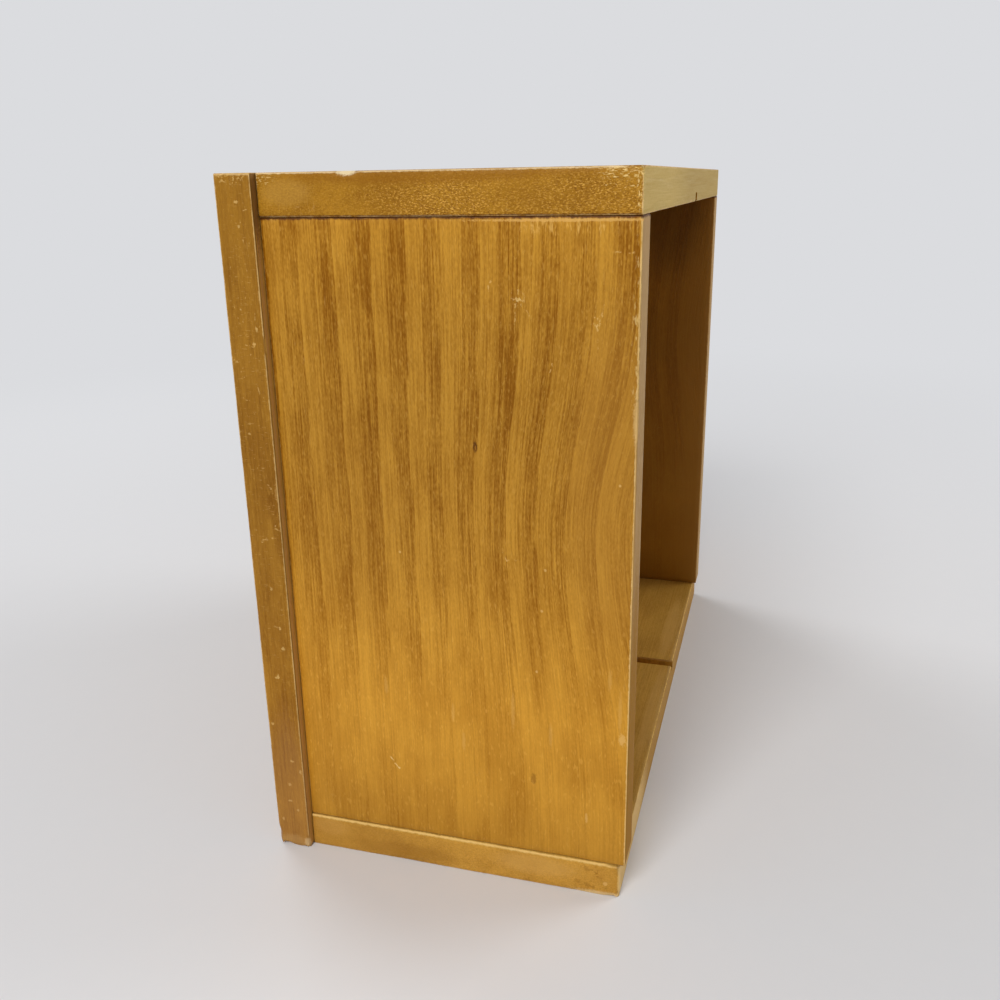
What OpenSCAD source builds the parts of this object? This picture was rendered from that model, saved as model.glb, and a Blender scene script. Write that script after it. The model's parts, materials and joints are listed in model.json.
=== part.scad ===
// Spice box: an open-backed wooden case with a face frame and six small drawers in two columns.
// X goes to the right as seen from the front, Y goes from the front to the open back, Z is up.
// The origin is on the resting plane, at the middle of the box's width and depth.

/* [Case] */
// Width across the ends of the top and bottom boards
case_w = 228.5; // [190:0.5:320]
// Height from the underside of the bottom board to the top of the top board
case_h = 203; // [160:1:300]
// Depth of the top board and the side panels, behind the face frame
case_d = 99.5; // [85:0.5:160]
// Thickness of the top and bottom boards
board_t = 11; // [9:0.5:18]
// Thickness of the side panels
side_t = 12.5; // [8:0.5:18]
// Distance that the side panels sit in from the ends of the top and bottom boards
side_inset = 0.4; // [0:0.1:2]
// Distance that the bottom board stops short of the open back
bottom_short = 1.5; // [0:0.1:6]

/* [Face frame] */
// Thickness of the face frame
frame_t = 10.5; // [9:0.5:16]
// Distance that the face frame stands past the ends of the top and bottom boards
frame_overhang = 2.6; // [0:0.1:4]
// Width of each stile that shows inside the side panel behind it
stile_reveal = 2.3; // [1:0.1:8]
// Height of the top rail that shows below the top board behind it
top_reveal = 3; // [1:0.1:10]
// Width of the mullion that shows on each side of the partition behind it
mullion_reveal = 3.5; // [3:0.1:8]
// Height of the rails between the drawers that shows below the shelf behind them
rail_drop = 5; // [3:0.1:12]
// Length of the stub tenons that join the face frame
tenon_len = 4; // [2:0.1:5]
// Thickness of the stub tenons
tenon_t = 4; // [2:0.1:6]
// Shoulder above and below each stub tenon
tenon_shoulder = 2; // [1:0.1:3]

/* [Partition and shelves] */
// Thickness of the partition between the two columns of drawers
partition_t = 5; // [3:0.5:8]
// Distance of the partition to the right of the middle of the case
partition_x = -15; // [-40:0.5:40]
// Depth of the housings for the partition in the top and bottom boards
housing_depth = 3; // [1:0.1:5]
// Thickness of the shelves that the drawers run on
shelf_t = 4; // [3:0.1:8]
// Depth of the housings for the shelves in the side panels
shelf_housing = 3; // [1:0.1:6]
// Depth left empty between the shelves and the open back
back_space = 30; // [5:0.5:45]
// Clearance on each side of a piece that sits in a housing, groove, mortise or hole
joint_fit = 0.05; // [0.02:0.01:0.2]

/* [Drawer guides and stops] */
// Distance that the strips that guide the sides of a drawer stop below the top of its opening
guide_drop = 2; // [0:0.5:25]
// Thickness of the blocks that stop a closed drawer, from front to back
stop_t = 4; // [2:0.5:10]
// Height of the stop blocks
stop_h = 12; // [8:0.5:25]
// Length of the stop blocks
stop_len = 24; // [10:0.5:50]

/* [Drawers] */
// Gap all round a drawer front in its opening
front_gap = 0.8; // [0.4:0.1:1.5]
// Gap under a drawer, and between a closed drawer and its stop
run_gap = 0.2; // [0.1:0.05:0.4]
// Thickness of the drawer fronts
drawer_front_t = 10; // [8:0.5:16]
// Thickness left at the ends of a drawer front, ahead of the drawer's side walls
front_lip_t = 4.5; // [2:0.1:6]
// Thickness of the drawers' side walls
wall_t = 5; // [4:0.1:8]
// Distance that the side walls and the back stop below the top of the drawer front
wall_drop = 4; // [0:0.1:15]
// Thickness of the drawers' backs
drawer_back_t = 5; // [3:0.1:8]
// Thickness of the drawers' bottoms
drawer_bottom_t = 2.5; // [1.5:0.1:5]
// Height of a drawer's bottom above the lower edges of its side walls
bottom_rise = 4; // [2:0.1:8]
// Depth of the grooves that hold the drawers' bottoms
groove_depth = 2.5; // [1:0.1:3]

/* [Knobs] */
// Largest diameter of the knobs
knob_d = 16; // [12:0.5:24]
// Distance that the knobs stand out from the drawer fronts
knob_reach = 15; // [12:0.5:25]
// Diameter of the knobs' feet
knob_foot_d = 10.5; // [9:0.5:16]
// Thickness of the knobs' feet
knob_foot_t = 1.6; // [0.8:0.1:3]
// Diameter of the knobs' necks
knob_neck_d = 7.5; // [7:0.1:12]
// Height of the rounded top of a knob
knob_crown = 4.5; // [2:0.1:6]
// Height of the curve from a knob's neck out to its rim
knob_cup = 4; // [2:0.1:5]
// Diameter of the tenons that are glued into the drawer fronts
knob_tenon_d = 6; // [4:0.1:6.5]
// Wood left in the drawer front behind a knob's tenon
knob_cover = 2; // [1:0.1:4]

/* [Nails and pins] */
// Diameter of the nails that hold the top and bottom boards to the side panels
nail_d = 1.6; // [1:0.1:2.5]
// Length of the nails
nail_len = 30; // [22:0.5:38]
// Diameter of the nail heads
nail_head_d = 2.6; // [2.6:0.1:4]
// Distance of the end nails from the front and rear edges of the top board
nail_margin = 16; // [12:0.5:30]
// Diameter of the pins that hold the face frame
pin_d = 1.2; // [0.8:0.1:1.8]
// Length of the pins
pin_len = 22; // [14:0.5:25]
// Diameter of the pin heads
pin_head_d = 1.9; // [1.8:0.1:3]
// Thickness of the heads of nails and pins
head_t = 1; // [0.5:0.1:2]
// Depth that nails and pins are set below the surface
head_sink = 0.6; // [0.2:0.1:1.5]
// Distance of the outer pins from the ends of the stiles
stile_pin_margin = 40; // [30:1:45]
// Distance of the outer pins in the top and bottom rails from the middle of the box
rail_pin_x = 62; // [50:1:80]

/* [Hidden] */
$fn = 48;
cut = 1; // how far a cut runs past the face that it opens
arc_step = 15; // angle between the points on a knob's curves

row_names = ["lower", "middle", "upper"];
column_names = ["left", "right"];
piece_names = ["front", "left_wall", "right_wall", "back", "bottom", "knob"];
rows = len(row_names);
columns = len(column_names);
shelf_rows = [1 : rows - 1]; // the rows of drawers that stand on a shelf

// Planes of the case
depth = case_d + frame_t;
front_y = -depth / 2;
frame_y = front_y + frame_t;
back_y = depth / 2;
nest_y = back_y - back_space;
lap_y = (frame_y + nest_y) / 2;
floor_z = board_t;
ceiling_z = case_h - board_t;
side_out_x = case_w / 2 - side_inset;
side_in_x = side_out_x - side_t;
side_mid_x = (side_out_x + side_in_x) / 2;

// Planes of the face frame
frame_x = case_w / 2 + frame_overhang;
stile_in_x = side_in_x - stile_reveal;
top_rail_z = ceiling_z - top_reveal;
tenon_mid_y = (front_y + frame_y) / 2;
mullion_w = partition_t + 2 * mullion_reveal;
mid_rail_h = shelf_t + rail_drop;
opening_h = (top_rail_z - floor_z - (rows - 1) * mid_rail_h) / rows;

// Planes of the drawers
front_back_y = front_y + drawer_front_t;
lip_y = front_y + front_lip_t;
drawer_end_y = nest_y - stop_t - run_gap;

// Left and right ends of an opening in the face frame
function opening_x(column) =
    column == 0
        ? [-stile_in_x, partition_x - mullion_w / 2]
        : [partition_x + mullion_w / 2, stile_in_x];

// Wall faces on the left and right of a column, behind the face frame
function bay_x(column) =
    column == 0
        ? [-side_in_x, partition_x - partition_t / 2]
        : [partition_x + partition_t / 2, side_in_x];

// Lower edge of an opening, which is level with the shelf or floor behind it
function opening_z(row) = floor_z + row * (opening_h + mid_rail_h);

// Left and right ends of a drawer
function drawer_x(column) = opening_x(column) + [front_gap, -front_gap];

function middle(span) = (span[0] + span[1]) / 2;

// Lower and upper edges of a drawer front
function front_z(row) = [opening_z(row) + front_gap, opening_z(row) + opening_h - front_gap];

// Lower and upper edges of a drawer's side walls
function wall_z(row) = [opening_z(row) + run_gap, front_z(row)[1] - wall_drop];

function drawer_bottom_z(row) = wall_z(row)[0] + bottom_rise;

// Where nails go through the top and bottom boards, as X and Y
nail_ys = [frame_y + nail_margin, (frame_y + back_y) / 2, back_y - nail_margin];
nail_places = [for (x = [-side_mid_x, side_mid_x], y = nail_ys) [x, y]];

// Where pins go through the face frame, as X and Z
stile_pin_zs = [stile_pin_margin, case_h / 2, case_h - stile_pin_margin];
stile_pins = [for (x = [-side_mid_x, side_mid_x], z = stile_pin_zs) [x, z]];
mullion_pins = [for (z = stile_pin_zs) [partition_x, z]];
rail_pins = [for (x = [-rail_pin_x, rail_pin_x], z = [board_t / 2, case_h - board_t / 2]) [x, z]];
pin_places = concat(stile_pins, mullion_pins, rail_pins);

// Half of a knob's outline, as distance from its axis and from the drawer front
knob_rim_z = knob_reach - knob_crown;
knob_under = [
    for (a = [-90 : arc_step : -arc_step])
        [
            knob_neck_d / 2 + (knob_d - knob_neck_d) / 2 * cos(a),
            knob_rim_z + knob_cup * sin(a)
        ]
];
knob_top = [
    for (a = [0 : arc_step : 90])
        [knob_d / 2 * cos(a), knob_rim_z + knob_crown * sin(a)]
];
knob_tenon_end = knob_cover - drawer_front_t;
knob_outline = concat(
    [
        [0, knob_tenon_end],
        [knob_tenon_d / 2, knob_tenon_end],
        [knob_tenon_d / 2, 0],
        [knob_foot_d / 2, 0],
        [knob_foot_d / 2, knob_foot_t],
        [knob_neck_d / 2, knob_foot_t]
    ],
    knob_under,
    knob_top
);

case_nodes = [
    "top_board", "bottom_board", "left_side", "right_side", "partition", "lower_shelf", "upper_shelf",
    "left_stile", "right_stile", "top_rail", "bottom_rail", "mullion",
    "lower_left_rail", "lower_right_rail", "upper_left_rail", "upper_right_rail",
    "drawer_guides", "drawer_stops", "case_nails", "frame_pins"
];

function drawer_node(row, column, piece) = str("drawer_", row, "_", column, "_", piece);

// A box between two opposite corners
module block(low, high) {
    translate(low) cube(high - low);
}

// A nail along Z with the top of its head at the origin; grown, and open above, it is the nail's hole
module nail(d, length, head_d, grow = 0, open_h = 0) {
    translate([0, 0, -length - grow]) cylinder(d = d + 2 * grow, h = length + grow);
    translate([0, 0, -head_t - grow]) cylinder(d = head_d + 2 * grow, h = head_t + grow + open_h);
}

module nails_at_case(grow = 0, open_h = 0) {
    for (place = nail_places) {
        translate([place[0], place[1], case_h - head_sink])
            nail(nail_d, nail_len, nail_head_d, grow, open_h);
        translate([place[0], place[1], head_sink])
            rotate([180, 0, 0]) nail(nail_d, nail_len, nail_head_d, grow, open_h);
    }
}

module pins_at_frame(grow = 0, open_h = 0) {
    for (place = pin_places)
        translate([place[0], front_y + head_sink, place[1]])
            rotate([90, 0, 0]) nail(pin_d, pin_len, pin_head_d, grow, open_h);
}

module case_nail_holes() {
    nails_at_case(joint_fit, head_sink + cut);
}

module frame_pin_holes() {
    pins_at_frame(joint_fit, head_sink + cut);
}

// The housing that runs through the top or bottom board for an edge of the partition
module partition_housing(low_z, high_z) {
    block(
        [partition_x - partition_t / 2 - joint_fit, frame_y - cut, low_z],
        [partition_x + partition_t / 2 + joint_fit, back_y + cut, high_z]
    );
}

module top_board() {
    color("#a87726")
        difference() {
            block([-case_w / 2, frame_y, ceiling_z], [case_w / 2, back_y, case_h]);
            partition_housing(ceiling_z - cut, ceiling_z + housing_depth);
            case_nail_holes();
            frame_pin_holes();
        }
}

module bottom_board() {
    color("#b7833a")
        difference() {
            block([-case_w / 2, frame_y, 0], [case_w / 2, back_y - bottom_short, floor_z]);
            partition_housing(floor_z - housing_depth, floor_z + cut);
            case_nail_holes();
            frame_pin_holes();
        }
}

// A side panel; hand is -1 for the left one and 1 for the right one
module side_panel(hand) {
    difference() {
        translate([hand * side_mid_x - side_t / 2, frame_y, floor_z])
            cube([side_t, case_d, ceiling_z - floor_z]);
        for (row = shelf_rows)
            translate([0, 0, opening_z(row) - shelf_t - joint_fit])
                block(
                    [-side_in_x - shelf_housing, frame_y - cut, 0],
                    [side_in_x + shelf_housing, nest_y, shelf_t + 2 * joint_fit]
                );
        case_nail_holes();
        frame_pin_holes();
    }
}

module left_side() {
    color("#aa7728") side_panel(-1);
}

module right_side() {
    color("#aa7728") side_panel(1);
}

// The partition is slotted from behind, where the shelves pass through it
module partition() {
    color("#9c7434")
        difference() {
            block(
                [partition_x - partition_t / 2, frame_y, floor_z - housing_depth],
                [partition_x + partition_t / 2, nest_y, ceiling_z + housing_depth]
            );
            for (row = shelf_rows)
                block(
                    [partition_x - partition_t / 2 - cut, lap_y, opening_z(row) - shelf_t - joint_fit],
                    [partition_x + partition_t / 2 + cut, nest_y + cut, opening_z(row) + joint_fit]
                );
            frame_pin_holes();
        }
}

// A shelf under the given row, slotted from the front where the partition passes through it
module shelf(row) {
    difference() {
        block(
            [-side_in_x - shelf_housing, frame_y, opening_z(row) - shelf_t],
            [side_in_x + shelf_housing, nest_y, opening_z(row)]
        );
        block(
            [partition_x - partition_t / 2 - joint_fit, frame_y - cut, opening_z(row) - shelf_t - cut],
            [partition_x + partition_t / 2 + joint_fit, lap_y, opening_z(row) + cut]
        );
    }
}

module lower_shelf() {
    color("#9c7434") shelf(1);
}

module upper_shelf() {
    color("#9c7434") shelf(2);
}

// The bar through a rail that makes the stub tenons at its two ends; grown, it cuts their mortises
module rail_tenons(span_x, span_z, grow = 0) {
    block(
        [
            span_x[0] - tenon_len - grow,
            tenon_mid_y - tenon_t / 2 - grow,
            span_z[0] + tenon_shoulder - grow
        ],
        [
            span_x[1] + tenon_len + grow,
            tenon_mid_y + tenon_t / 2 + grow,
            span_z[1] - tenon_shoulder + grow
        ]
    );
}

module rail(span_x, span_z) {
    block([span_x[0], front_y, span_z[0]], [span_x[1], frame_y, span_z[1]]);
    rail_tenons(span_x, span_z);
}

// The bar through the mullion that makes its stub tenons; grown, it cuts their mortises
module mullion_tenons(grow = 0) {
    block(
        [
            partition_x - mullion_w / 2 + tenon_shoulder - grow,
            tenon_mid_y - tenon_t / 2 - grow,
            floor_z - tenon_len - grow
        ],
        [
            partition_x + mullion_w / 2 - tenon_shoulder + grow,
            tenon_mid_y + tenon_t / 2 + grow,
            top_rail_z + tenon_len + grow
        ]
    );
}

stile_span_x = [-stile_in_x, stile_in_x];
top_rail_span_z = [top_rail_z, case_h];
bottom_rail_span_z = [0, floor_z];

// Lower and upper edges of the rail under a row of drawers
function mid_rail_span_z(row) = [opening_z(row) - mid_rail_h, opening_z(row)];

module mid_rail_mortises() {
    for (row = shelf_rows, column = [0 : columns - 1])
        rail_tenons(opening_x(column), mid_rail_span_z(row), joint_fit);
}

// A stile between the two given X planes
module stile(span_x) {
    difference() {
        block([span_x[0], front_y, 0], [span_x[1], frame_y, case_h]);
        rail_tenons(stile_span_x, top_rail_span_z, joint_fit);
        rail_tenons(stile_span_x, bottom_rail_span_z, joint_fit);
        mid_rail_mortises();
        frame_pin_holes();
    }
}

module left_stile() {
    color("#9a6b26") stile([-frame_x, -stile_in_x]);
}

module right_stile() {
    color("#9a6b26") stile([stile_in_x, frame_x]);
}

module top_rail() {
    color("#9a6b26")
        difference() {
            rail(stile_span_x, top_rail_span_z);
            mullion_tenons(joint_fit);
            frame_pin_holes();
        }
}

module bottom_rail() {
    color("#9a6b26")
        difference() {
            rail(stile_span_x, bottom_rail_span_z);
            mullion_tenons(joint_fit);
            frame_pin_holes();
        }
}

module mullion() {
    color("#9a6b26")
        difference() {
            union() {
                block(
                    [partition_x - mullion_w / 2, front_y, floor_z],
                    [partition_x + mullion_w / 2, frame_y, top_rail_z]
                );
                mullion_tenons();
            }
            mid_rail_mortises();
            frame_pin_holes();
        }
}

module mid_rail(column, row) {
    color("#9a6b26") rail(opening_x(column), mid_rail_span_z(row));
}

module lower_left_rail() {
    mid_rail(0, 1);
}

module lower_right_rail() {
    mid_rail(1, 1);
}

module upper_left_rail() {
    mid_rail(0, 2);
}

module upper_right_rail() {
    mid_rail(1, 2);
}

// Strips beside each drawer, which carry the edges of its opening on behind the face frame
module drawer_guides() {
    color("#b08a4a")
        for (row = [0 : rows - 1], column = [0 : columns - 1], end = [0, 1]) {
            wall_face = bay_x(column)[end];
            opening_edge = opening_x(column)[end];
            block(
                [min(wall_face, opening_edge), frame_y, opening_z(row)],
                [max(wall_face, opening_edge), nest_y, opening_z(row) + opening_h - guide_drop]
            );
        }
}

// Blocks on the floor and the shelves behind the drawers
module drawer_stops() {
    color("#b08a4a")
        for (row = [0 : rows - 1], column = [0 : columns - 1])
            translate([middle(opening_x(column)) - stop_len / 2, nest_y - stop_t, opening_z(row)])
                cube([stop_len, stop_t, stop_h]);
}

module case_nails() {
    color("#8a8780") nails_at_case();
}

module frame_pins() {
    color("#8a8780") pins_at_frame();
}

// The bottom of a drawer; grown, it cuts the grooves that hold it
module bottom_panel(column, row, grow = 0) {
    span_x = drawer_x(column);
    low_z = drawer_bottom_z(row);
    block(
        [
            span_x[0] + wall_t - groove_depth - grow,
            front_back_y - groove_depth - grow,
            low_z - grow
        ],
        [
            span_x[1] - wall_t + groove_depth + grow,
            drawer_end_y + grow,
            low_z + drawer_bottom_t + grow
        ]
    );
}

// A knob on its axis, placed on its drawer front
module at_knob(column, row) {
    translate([middle(drawer_x(column)), front_y, middle(front_z(row))])
        rotate([90, 0, 0]) children();
}

// A drawer front, cut back at its ends for the side walls
module drawer_front(column, row) {
    span_x = drawer_x(column);
    span_z = front_z(row);
    color("#a3722a")
        difference() {
            block([span_x[0], front_y, span_z[0]], [span_x[1], front_back_y, span_z[1]]);
            block(
                [span_x[0] - cut, lip_y, span_z[0] - cut],
                [span_x[0] + wall_t, front_back_y + cut, span_z[1] + cut]
            );
            block(
                [span_x[1] - wall_t, lip_y, span_z[0] - cut],
                [span_x[1] + cut, front_back_y + cut, span_z[1] + cut]
            );
            bottom_panel(column, row, joint_fit);
            at_knob(column, row)
                translate([0, 0, knob_tenon_end])
                    cylinder(d = knob_tenon_d + 2 * joint_fit, h = cut - knob_tenon_end);
        }
}

// A drawer's side wall, grooved for the bottom
module drawer_wall(column, row, low_x) {
    span_z = wall_z(row);
    color("#b9975c")
        difference() {
            block([low_x, lip_y, span_z[0]], [low_x + wall_t, drawer_end_y, span_z[1]]);
            bottom_panel(column, row, joint_fit);
        }
}

module drawer_left_wall(column, row) {
    drawer_wall(column, row, drawer_x(column)[0]);
}

module drawer_right_wall(column, row) {
    drawer_wall(column, row, drawer_x(column)[1] - wall_t);
}

// A drawer's back, which stands on the bottom between the side walls
module drawer_back(column, row) {
    span_x = drawer_x(column);
    color("#b9975c")
        block(
            [
                span_x[0] + wall_t,
                drawer_end_y - drawer_back_t,
                drawer_bottom_z(row) + drawer_bottom_t
            ],
            [span_x[1] - wall_t, drawer_end_y, wall_z(row)[1]]
        );
}

module drawer_bottom(column, row) {
    color("#8f7144") bottom_panel(column, row);
}

// A turned knob with the tenon that is glued into the drawer front
module drawer_knob(column, row) {
    color("#8c5f22")
        at_knob(column, row) rotate_extrude() polygon(knob_outline);
}

top_board();
bottom_board();
left_side();
right_side();
partition();
lower_shelf();
upper_shelf();
left_stile();
right_stile();
top_rail();
bottom_rail();
mullion();
lower_left_rail();
lower_right_rail();
upper_left_rail();
upper_right_rail();
drawer_guides();
drawer_stops();
case_nails();
frame_pins();

for (r = [0 : rows - 1], c = [0 : columns - 1]) {
    row = row_names[r];
    column = column_names[c];
    drawer_front(c, r);
    drawer_left_wall(c, r);
    drawer_right_wall(c, r);
    drawer_back(c, r);
    drawer_bottom(c, r);
    drawer_knob(c, r);
}
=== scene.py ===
import json
import math

import bmesh
import bpy
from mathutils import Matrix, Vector, noise

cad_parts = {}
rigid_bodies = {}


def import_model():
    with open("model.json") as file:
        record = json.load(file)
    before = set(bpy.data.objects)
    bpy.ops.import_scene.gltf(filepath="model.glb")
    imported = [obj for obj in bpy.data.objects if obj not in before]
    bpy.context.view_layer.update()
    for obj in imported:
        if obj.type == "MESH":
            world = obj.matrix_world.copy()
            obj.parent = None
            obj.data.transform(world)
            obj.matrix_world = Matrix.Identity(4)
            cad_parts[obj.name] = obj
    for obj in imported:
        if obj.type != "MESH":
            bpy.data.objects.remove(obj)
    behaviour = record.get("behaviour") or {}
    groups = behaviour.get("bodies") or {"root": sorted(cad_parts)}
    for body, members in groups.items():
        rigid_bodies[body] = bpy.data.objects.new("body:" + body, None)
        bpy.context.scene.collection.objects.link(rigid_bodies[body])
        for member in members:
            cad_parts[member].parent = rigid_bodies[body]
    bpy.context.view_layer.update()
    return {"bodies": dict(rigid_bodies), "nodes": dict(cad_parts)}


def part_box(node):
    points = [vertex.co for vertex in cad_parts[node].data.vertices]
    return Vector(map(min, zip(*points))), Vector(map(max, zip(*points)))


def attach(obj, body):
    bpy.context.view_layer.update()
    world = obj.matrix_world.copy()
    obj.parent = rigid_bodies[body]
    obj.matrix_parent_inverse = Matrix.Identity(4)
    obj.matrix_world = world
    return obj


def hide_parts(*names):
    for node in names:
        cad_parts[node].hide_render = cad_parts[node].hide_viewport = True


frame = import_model()
scene = bpy.context.scene
scene.view_settings.view_transform = "Standard"
print("frame loaded:", len(frame["nodes"]), "nodes")

mm = 0.001


def addObject(name, data):
    thing = bpy.data.objects.new(name, data)
    scene.collection.objects.link(thing)
    return thing


# camera, at the photograph's viewing angle
cameraSetup = {
    "place": (0.349569, 0.088622, 0.200235),
    "turn": (71.8863, 0.9143, 106.1043),  # degrees
    "lens": 35.2246,
    "sensor": 36.0,
    "clip": (0.01, 50),
}


def makeCamera(setup):
    data = bpy.data.cameras.new("boxCamera")
    data.lens = setup["lens"]
    data.sensor_width = setup["sensor"]
    data.clip_start, data.clip_end = setup["clip"]
    camera = addObject("boxCamera", data)
    camera.location = setup["place"]
    camera.rotation_euler = [math.radians(a) for a in setup["turn"]]
    scene.camera = camera


makeCamera(cameraSetup)
print("camera set")


# node helpers
def tint(red, green, blue):
    # a colour as it shows on screen, 0 to 255 each
    def linear(part):
        part = part / 255
        return part / 12.92 if part <= 0.04045 else ((part + 0.055) / 1.055) ** 2.4
    return (linear(red), linear(green), linear(blue), 1.0)


def setInputs(tree, node, values):
    for key, value in values.items():
        if isinstance(value, bpy.types.NodeSocket):
            tree.links.new(value, node.inputs[key])
        else:
            node.inputs[key].default_value = value
    return node


def addNode(tree, kind, values=None, **settings):
    node = tree.nodes.new("ShaderNode" + kind)
    for key, value in settings.items():
        setattr(node, key, value)
    return setInputs(tree, node, values or {})


def useGroup(tree, group, values):
    return addNode(tree, "Group", values, node_tree=group).outputs


def calc(tree, operation, first, second=0.0, third=0.0, clamp=False):
    values = {0: first, 1: second, 2: third}
    return addNode(tree, "Math", values, operation=operation, use_clamp=clamp).outputs[0]


def times(tree, first, second, clamp=False):
    return calc(tree, "MULTIPLY", first, second, clamp=clamp)


def minus(tree, first, second):
    return calc(tree, "SUBTRACT", first, second)


def scaleAdd(tree, value, scale, added, clamp=False):
    return calc(tree, "MULTIPLY_ADD", value, scale, added, clamp)


def vectorCalc(tree, operation, first, second=(0, 0, 0), out="Vector"):
    return addNode(tree, "VectorMath", {0: first, 1: second}, operation=operation).outputs[out]


def rise(tree, value, low, high, start=0.0, end=1.0):
    values = {"Value": value, "From Min": low, "From Max": high, "To Min": start, "To Max": end}
    return addNode(tree, "MapRange", values, interpolation_type="SMOOTHSTEP").outputs[0]


def blendColour(tree, share, first, second):
    values = {0: share, 6: first, 7: second}
    return addNode(tree, "Mix", values, data_type="RGBA").outputs[2]


def speckle(tree, vector, perMetre, detail=2.0, roughness=0.5):
    # noise with one count of cycles per metre, or one along each axis
    if isinstance(perMetre, int):
        perMetre = (perMetre, perMetre, perMetre)
    spread = vectorCalc(tree, "MULTIPLY", vector, perMetre)
    values = {"Vector": spread, "Scale": 1.0, "Detail": detail, "Roughness": roughness}
    return addNode(tree, "TexNoise", values).outputs[0]


def ramp(tree, value, stops):
    node = addNode(tree, "ValToRGB", {"Fac": value})
    elements = node.color_ramp.elements
    while len(elements) < len(stops):
        elements.new(0.5)
    for element, (place, level) in zip(elements, stops):
        element.position = place
        element.color = (level, level, level, 1)
    return node.outputs[0]


def newGroup(name, vectors, values, results):
    # the names of the sockets come as words in a line
    tree = bpy.data.node_groups.new(name, "ShaderNodeTree")
    sockets = [("INPUT", "Vector", vectors), ("INPUT", "Float", values), ("OUTPUT", "Float", results)]
    for way, kind, names in sockets:
        for socketName in names.split():
            tree.interface.new_socket(socketName, in_out=way, socket_type="NodeSocket" + kind)
    return tree, tree.nodes.new("NodeGroupInput").outputs, tree.nodes.new("NodeGroupOutput")


def axisPart(tree, vector, axis):
    return addNode(tree, "SeparateXYZ", {0: vector}).outputs[axis.upper()]


def blankMaterial(name):
    material = bpy.data.materials.new(name)
    material.use_nodes = True
    material.node_tree.nodes.clear()
    return material, material.node_tree


def objectPlace(tree):
    # where a point lies on its piece, and which way its face looks
    coordinate = addNode(tree, "TexCoord").outputs
    place = addNode(tree, "Mapping", {"Vector": coordinate["Object"]}).outputs[0]
    return place, coordinate["Normal"]


# growth rings, fibres and pores in grain space: x across, y through, z along the grain
# noise is given in cycles per metre in those three directions
growth = {
    "slow": (11, 11, 4),
    "quick": (55, 55, 36),
    "quickShare": 0.8,
    "ragged": (650, 650, 18),
    "raggedShare": 0.22,
    "year": [(0.0, 0.0), (0.05, 0.0), (0.10, 0.10), (0.36, 0.14), (0.54, 0.62), (0.84, 0.84),
             (0.93, 0.96), (0.975, 0.96), (1.0, 0.0)],  # stain taken from early to late wood
    "pore": (1900, 1900, 70),
    "blotch": (70, 70, 30),
    "fleck": (1500, 1500, 420),
}
fibreLayers = [  # cycles, detail, roughness and share
    ((1150, 1150, 24), 1.5, 0.6, 0.9),  # streaks
    ((1200, 1200, 300), 1.0, 0.5, 0.7),  # mottle
    ((2700, 2700, 50), 1.0, 0.5, 1.5),  # hairs
    ((2600, 2600, 900), 0.5, 0.5, 0.9),  # grit
]


def makeWoodFigure():
    tree, given, result = newGroup("woodFigure", "Grain Pith", "Rings Wander Uneven",
                                   "Band Tone Fibre Pore Blotch Fleck")
    grain = given["Grain"]
    slow = minus(tree, speckle(tree, grain, growth["slow"]), 0.5)
    quick = minus(tree, speckle(tree, grain, growth["quick"], 3.0), 0.5)
    push = scaleAdd(tree, quick, growth["quickShare"], slow)
    push = times(tree, push, given["Wander"])
    fromPith = vectorCalc(tree, "SUBTRACT", grain, given["Pith"])
    flat = vectorCalc(tree, "MULTIPLY", fromPith, (1, 1, 0))
    reach = calc(tree, "ADD", vectorCalc(tree, "LENGTH", flat, out="Value"), push)
    count = times(tree, reach, given["Rings"])
    uneven = addNode(tree, "TexNoise", {"W": count, "Scale": 0.45, "Detail": 1.0},
                     noise_dimensions="1D").outputs[0]
    ragged = minus(tree, speckle(tree, grain, growth["ragged"], 2.0, 0.6), 0.5)
    year = scaleAdd(tree, uneven, given["Uneven"], count)
    year = scaleAdd(tree, ragged, growth["raggedShare"], year)
    shade = ramp(tree, calc(tree, "FRACT", year), growth["year"])
    tone = addNode(tree, "TexWhiteNoise", {"W": calc(tree, "FLOOR", year)},
                   noise_dimensions="1D").outputs[0]
    fibre = -0.5 * sum(layer[-1] for layer in fibreLayers)  # so that the layers average to nothing
    for perMetre, detail, roughness, share in fibreLayers:
        fibre = scaleAdd(tree, speckle(tree, grain, perMetre, detail, roughness), share, fibre)
    uneasy = scaleAdd(tree, shade, 0.4, 0.68)  # late wood is the streaky part
    setInputs(tree, result, {
        "Band": shade,
        "Tone": tone,
        "Fibre": times(tree, fibre, uneasy),
        "Pore": rise(tree, speckle(tree, grain, growth["pore"], 1.0), 0.55, 0.67),
        "Blotch": speckle(tree, grain, growth["blotch"], 3.0, 0.6),
        "Fleck": rise(tree, speckle(tree, grain, growth["fleck"], 1.0), 0.60, 0.74),
    })
    return tree


# how near a point is to the arrises of a box: a thin rubbed line, and wider chips here and there
rubbing = {"thin": 0.00005, "uneven": 0.0006, "leastChip": 0.00001}  # widths in metres


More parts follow.
